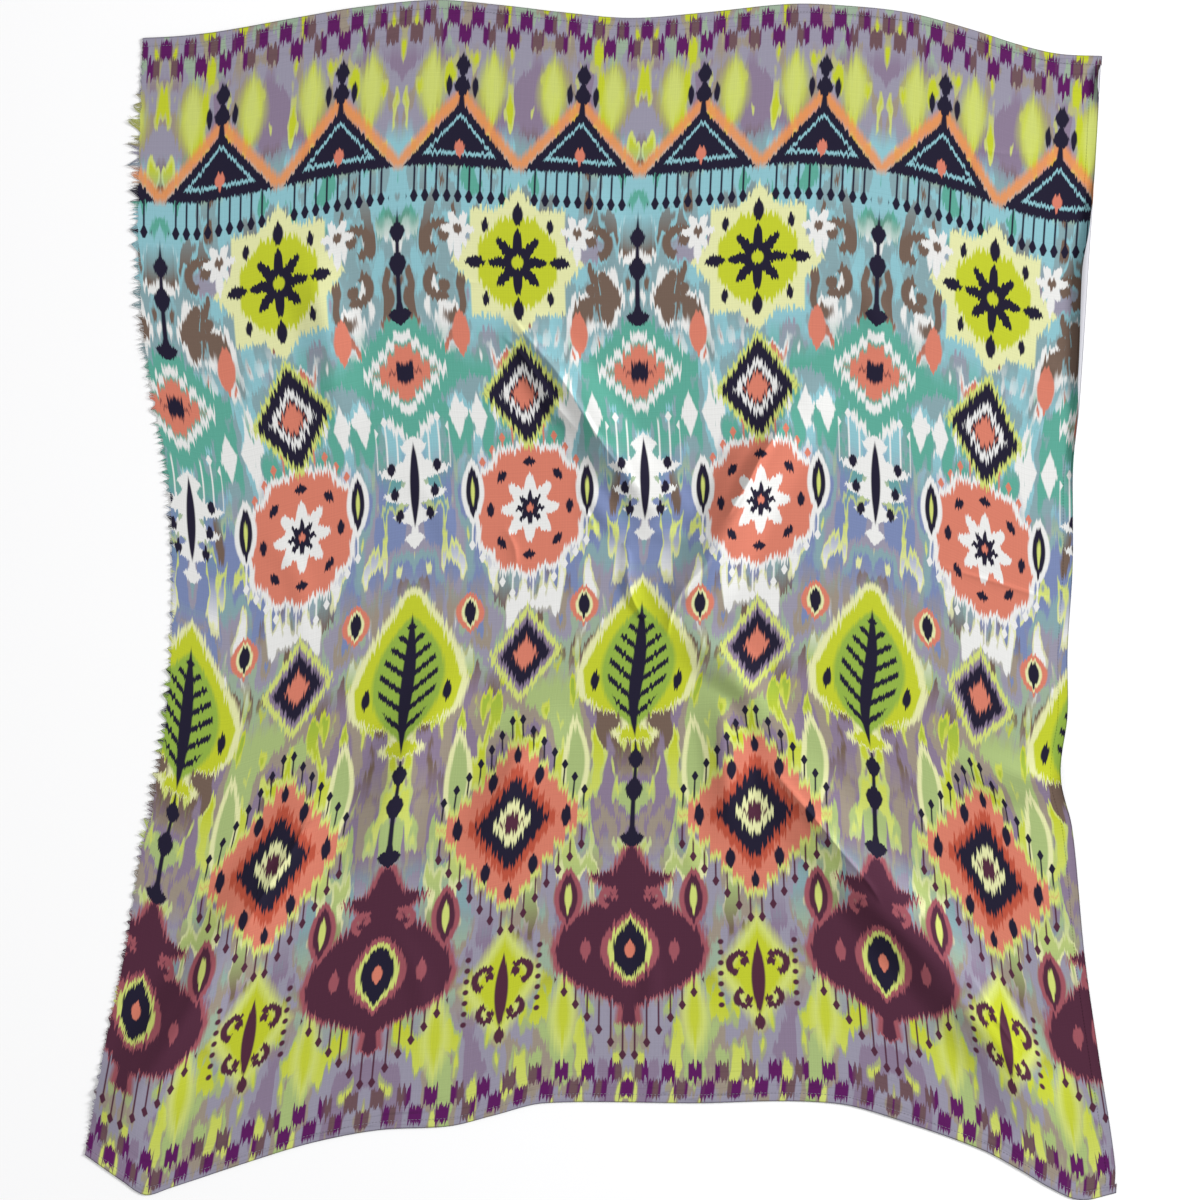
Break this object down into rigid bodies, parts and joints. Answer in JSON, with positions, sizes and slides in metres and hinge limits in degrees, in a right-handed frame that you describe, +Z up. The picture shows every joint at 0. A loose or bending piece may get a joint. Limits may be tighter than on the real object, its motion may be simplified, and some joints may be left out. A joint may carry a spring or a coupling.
{
  "type": "ikat scarf",
  "caption": "Light scarf laid flat, face up, with soft creases, narrow hems at the head, foot and right side and a short frayed fringe down the left side.",
  "frame": {"origin": "under the middle of the whole outline, on the surface that the scarf lies on", "axes": "+Y from the foot hem to the head hem, +X to the right seen from above, +Z up from the surface"},
  "size_m": [1.0346, 1.2001, 0.0141],
  "materials": {
    "printed_cloth": "fine plain-woven cloth with a bright ikat print, matt with a faint sheen; the reverse is pale",
    "cloth_threads": "drawn-out cloth threads and sewing thread, matt"
  },
  "bodies": {
    "root": {"scarf_panel": "printed_cloth", "hem_top": "printed_cloth", "hem_bottom": "printed_cloth", "hem_right": "printed_cloth", "fringe_upper": "cloth_threads", "fringe_middle": "cloth_threads", "fringe_lower": "cloth_threads", "fringe_foot": "cloth_threads"}
  },
  "joints": []
}
